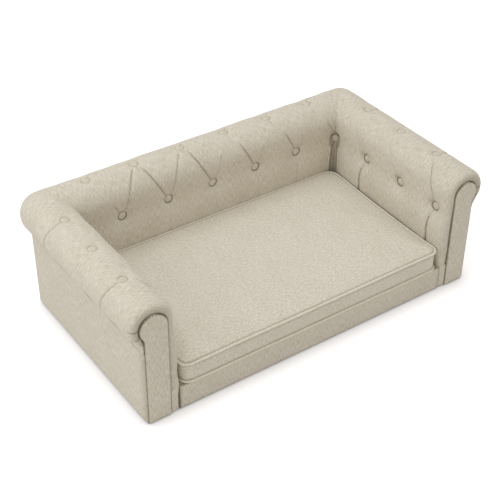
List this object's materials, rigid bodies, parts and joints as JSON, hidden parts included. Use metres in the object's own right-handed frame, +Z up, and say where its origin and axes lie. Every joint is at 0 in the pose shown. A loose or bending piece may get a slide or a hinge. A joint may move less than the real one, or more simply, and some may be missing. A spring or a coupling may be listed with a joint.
{
  "type": "pet bed",
  "caption": "Low roll-arm pet bed like a small tufted sofa: buttoned arms and back, inset front panels, loose piped seat cushion with a zipped cover.",
  "frame": {"origin": "on the floor under the middle of the whole bed, which is the bottom centre of its bounding box", "axes": "+Z up, +Y from the open front towards the back, +X towards the right arm as seen from the front"},
  "size_m": [1.06, 0.59, 0.347],
  "materials": {
    "zip_metal": "satin",
    "zip_tape": "woven",
    "piping_cloth": "woven",
    "button_cloth": "woven",
    "twine": "twisted",
    "cover_cloth": "woven",
    "cushion_cloth": "woven",
    "foam": "open cell foam",
    "steel": "zinc plated",
    "glide_plastic": "matt",
    "dust_cloth": "non-woven",
    "plywood": "raw",
    "timber": "planed"
  },
  "bodies": {
    "sofa": {"front_rail": "timber", "rear_rail": "timber", "left_side_rail": "timber", "right_side_rail": "timber", "seat_slats": "timber", "corner_blocks": "timber", "seat_deck": "plywood", "deck_cloth": "dust_cloth", "front_rail_cover": "cover_cloth", "dust_cover": "dust_cloth", "foot_glides": "glide_plastic", "glide_nails": "steel", "left_front_former": "plywood", "left_rear_former": "plywood", "left_battens": "timber", "left_outer_board": "plywood", "left_inner_board": "plywood", "left_roll_board": "plywood", "left_foam": "foam", "left_tufted_cover": "cover_cloth", "left_outer_cover": "cover_cloth", "left_panel_core": "plywood", "left_panel_cover": "cover_cloth", "left_buttons": "button_cloth", "left_button_ties": "twine", "right_front_former": "plywood", "right_rear_former": "plywood", "right_battens": "timber", "right_outer_board": "plywood", "right_inner_board": "plywood", "right_roll_board": "plywood", "right_foam": "foam", "right_tufted_cover": "cover_cloth", "right_outer_cover": "cover_cloth", "right_panel_core": "plywood", "right_panel_cover": "cover_cloth", "right_buttons": "button_cloth", "right_button_ties": "twine", "back_formers": "plywood", "back_battens": "timber", "back_outer_board": "plywood", "back_inner_board": "plywood", "back_roll_board": "plywood", "back_foam": "foam", "back_tufted_cover": "cover_cloth", "back_outer_cover": "cover_cloth", "back_buttons": "button_cloth", "back_button_ties": "twine", "frame_screws": "steel", "panel_screws": "steel"},
    "cushion": {"cushion_foam": "foam", "cushion_top": "cushion_cloth", "cushion_bottom": "cushion_cloth", "cushion_boxing": "cushion_cloth", "top_piping": "piping_cloth", "bottom_piping": "piping_cloth", "zip_channel": "zip_tape"},
    "zip_slider": {"zip_slider": "zip_metal"},
    "zip_pull": {"zip_pull": "zip_metal"}
  },
  "joints": [
    {"name": "cushion_lift", "type": "slide", "parent": "sofa", "child": "cushion", "axis": [0, 0, 1], "range_m": [0, 0.28]},
    {"name": "zip_slide", "type": "slide", "parent": "cushion", "child": "zip_slider", "axis": [1, 0, 0], "range_m": [0, 0.6]},
    {"name": "zip_pull_turn", "type": "hinge", "parent": "zip_slider", "child": "zip_pull", "pos_m": [-0.3006, 0.1607, 0.1079], "axis": [0, 0, 1], "range_deg": [0, 180]}
  ]
}
